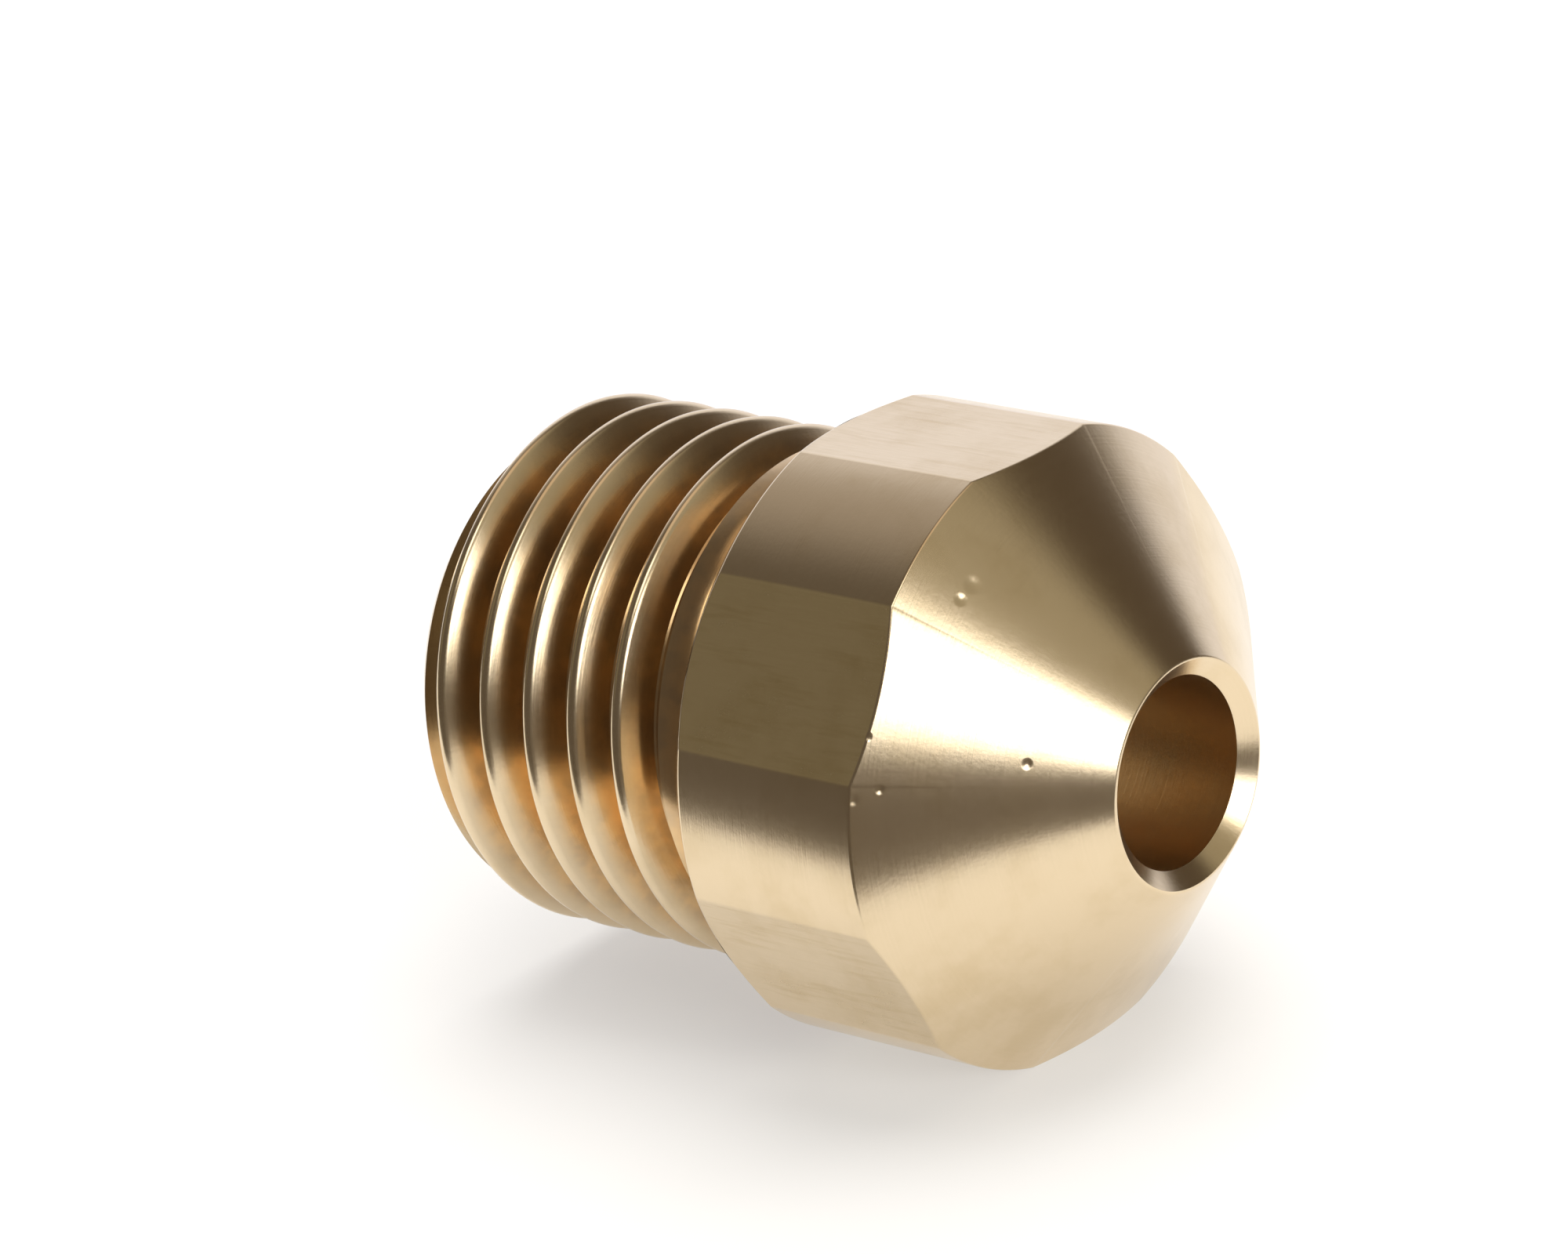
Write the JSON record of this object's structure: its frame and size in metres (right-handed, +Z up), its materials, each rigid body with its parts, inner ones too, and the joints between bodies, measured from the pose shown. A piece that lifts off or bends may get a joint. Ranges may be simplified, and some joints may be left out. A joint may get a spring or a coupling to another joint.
{
  "type": "oil burner nozzle",
  "caption": "Brass pressure atomising nozzle with a threaded inlet, a hexagonal wrench head and a conical nose, which turns oil into a fine cone of spray.",
  "frame": {"origin": "centre of the annular inlet end face, on the spray axis", "axes": "+X along the spray axis towards the tip, +Z up, square to two of the wrench flats, +Y completes the right hand"},
  "size_m": [0.0204, 0.0164, 0.0158],
  "materials": {
    "body_brass": "turned and drawn, satin with light handling marks",
    "disc_steel": "lapped face with fine turning rings",
    "distributor_steel": "fine turned",
    "screw_brass": "turned, with a sawn slot",
    "ring_brass": "turned, with a sawn slot",
    "wire_bronze": "woven wire, slightly dulled",
    "cap_brass": "pressed, satin"
  },
  "bodies": {
    "root": {"nozzle_body": "body_brass", "orifice_disc": "disc_steel", "distributor": "distributor_steel", "lock_screw": "screw_brass", "strainer_ring": "ring_brass", "strainer_screen": "wire_bronze", "strainer_cap": "cap_brass"}
  },
  "joints": []
}
